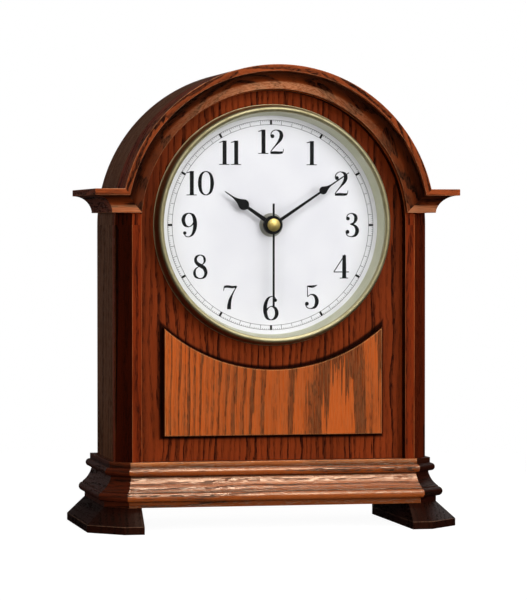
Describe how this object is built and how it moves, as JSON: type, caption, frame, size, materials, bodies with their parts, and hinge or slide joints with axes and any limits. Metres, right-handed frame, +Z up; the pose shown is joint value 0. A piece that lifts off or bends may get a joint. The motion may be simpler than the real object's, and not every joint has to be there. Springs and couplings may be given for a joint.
{
  "type": "table clock",
  "caption": "Arched wooden table clock with hood and base mouldings, brass bezel, white dial, geared hands driven by a quartz movement, and a hinged back door.",
  "frame": {"origin": "middle of the box round the feet, on the table top", "axes": "+Z up, +X to the right seen from the front, +Y to the back; the dial faces -Y"},
  "size_m": [0.237, 0.109, 0.2915],
  "materials": {
    "case_wood": "reddish-brown stain under gloss lacquer",
    "moulding_wood": "reddish-brown stain under gloss lacquer",
    "foot_wood": "dark brown stain under satin lacquer",
    "panel_wood": "red-brown stain, straight upright grain",
    "raised_panel_wood": "orange-brown stain, bold grain",
    "back_wood": "plain brown board",
    "bezel_brass": "polished and lacquered",
    "fitting_brass": "plain brass",
    "lens_glass": "clear",
    "reflector_enamel": "pale cream enamel",
    "dial_white": "white satin with black print",
    "washer_white": "pale",
    "pan_plastic": "moulded",
    "movement_plastic": "moulded",
    "wheel_plastic": "moulded",
    "magnet_dark": "dark",
    "spring_steel": "plain",
    "coil_copper": "enamelled wire",
    "board_green": "coated",
    "cell_jacket": "plain jacket",
    "hand_black": "black satin enamel"
  },
  "bodies": {
    "case": {"side_board_left": "case_wood", "side_board_right": "case_wood", "stile_left": "case_wood", "stile_right": "case_wood", "arch_rail": "case_wood", "arch_shell": "case_wood", "base_board": "case_wood", "base_moulding_side_left": "moulding_wood", "base_moulding_side_right": "moulding_wood", "base_moulding_corner_left": "moulding_wood", "base_moulding_corner_right": "moulding_wood", "base_moulding_front": "moulding_wood", "arch_moulding": "moulding_wood", "cornice_front_left": "moulding_wood", "cornice_front_right": "moulding_wood", "cornice_side_left": "moulding_wood", "cornice_side_right": "moulding_wood", "foot_left": "foot_wood", "foot_right": "foot_wood", "front_panel": "panel_wood", "raised_panel": "raised_panel_wood", "back_frame": "back_wood", "bezel": "bezel_brass", "fixing_nut": "fitting_brass", "hinge_frame_leaves": "fitting_brass", "hinge_pins": "fitting_brass", "lens": "lens_glass", "reflector_ring": "reflector_enamel", "dial": "dial_white", "dial_washer": "washer_white", "dial_pan": "pan_plastic", "movement_housing": "movement_plastic", "movement_cover": "movement_plastic", "catch_magnet": "magnet_dark", "motor_stator": "spring_steel", "cell_contacts": "spring_steel", "motor_coil": "coil_copper", "circuit_board": "board_green", "cell": "cell_jacket"},
    "seconds": {"second_hand": "hand_black", "hub_cap": "bezel_brass", "second_arbor": "wheel_plastic"},
    "minutes": {"minute_hand": "hand_black", "minute_pipe": "wheel_plastic"},
    "hours": {"hour_hand": "hand_black", "hour_wheel": "wheel_plastic"},
    "third": {"third_wheel": "wheel_plastic"},
    "setting": {"motion_wheel": "wheel_plastic", "setting_knob": "movement_plastic"},
    "idler": {"idler_wheel": "wheel_plastic"},
    "motor": {"rotor": "magnet_dark"},
    "door": {"back_door": "back_wood", "door_knob": "fitting_brass", "strike_plate": "spring_steel", "hinge_door_leaves": "fitting_brass"}
  },
  "joints": [
    {"name": "second_hand_turn", "type": "hinge", "parent": "case", "child": "seconds", "pos_m": [0, 0, 0.1915], "axis": [0, 1, 0], "continuous": true},
    {"name": "third_wheel_turn", "type": "hinge", "parent": "case", "child": "third", "pos_m": [0.00883, 0, 0.1966], "axis": [0, 1, 0], "continuous": true},
    {"name": "minute_hand_turn", "type": "hinge", "parent": "case", "child": "minutes", "pos_m": [0, 0, 0.1915], "axis": [0, 1, 0], "continuous": true},
    {"name": "setting_knob_turn", "type": "hinge", "parent": "case", "child": "setting", "pos_m": [-0.0106, 0, 0.1915], "axis": [0, 1, 0], "continuous": true},
    {"name": "hour_hand_turn", "type": "hinge", "parent": "case", "child": "hours", "pos_m": [0, 0, 0.1915], "axis": [0, 1, 0], "continuous": true},
    {"name": "idler_wheel_turn", "type": "hinge", "parent": "case", "child": "idler", "pos_m": [-0.0052, 0, 0.20051], "axis": [0, 1, 0], "continuous": true},
    {"name": "rotor_turn", "type": "hinge", "parent": "case", "child": "motor", "pos_m": [-0.00617, 0, 0.20602], "axis": [0, 1, 0], "continuous": true},
    {"name": "back_door_swing", "type": "hinge", "parent": "case", "child": "door", "pos_m": [0.0636, 0.047, 0.1335], "axis": [0, 0, -1], "range_deg": [0, 110]}
  ],
  "couplings": [
    {"joint": "third_wheel_turn", "follows": "second_hand_turn", "ratio": -0.13333},
    {"joint": "minute_hand_turn", "follows": "second_hand_turn", "ratio": 0.016667},
    {"joint": "setting_knob_turn", "follows": "second_hand_turn", "ratio": -0.0055556},
    {"joint": "hour_hand_turn", "follows": "second_hand_turn", "ratio": 0.0013889},
    {"joint": "idler_wheel_turn", "follows": "second_hand_turn", "ratio": -5},
    {"joint": "rotor_turn", "follows": "second_hand_turn", "ratio": 30}
  ]
}
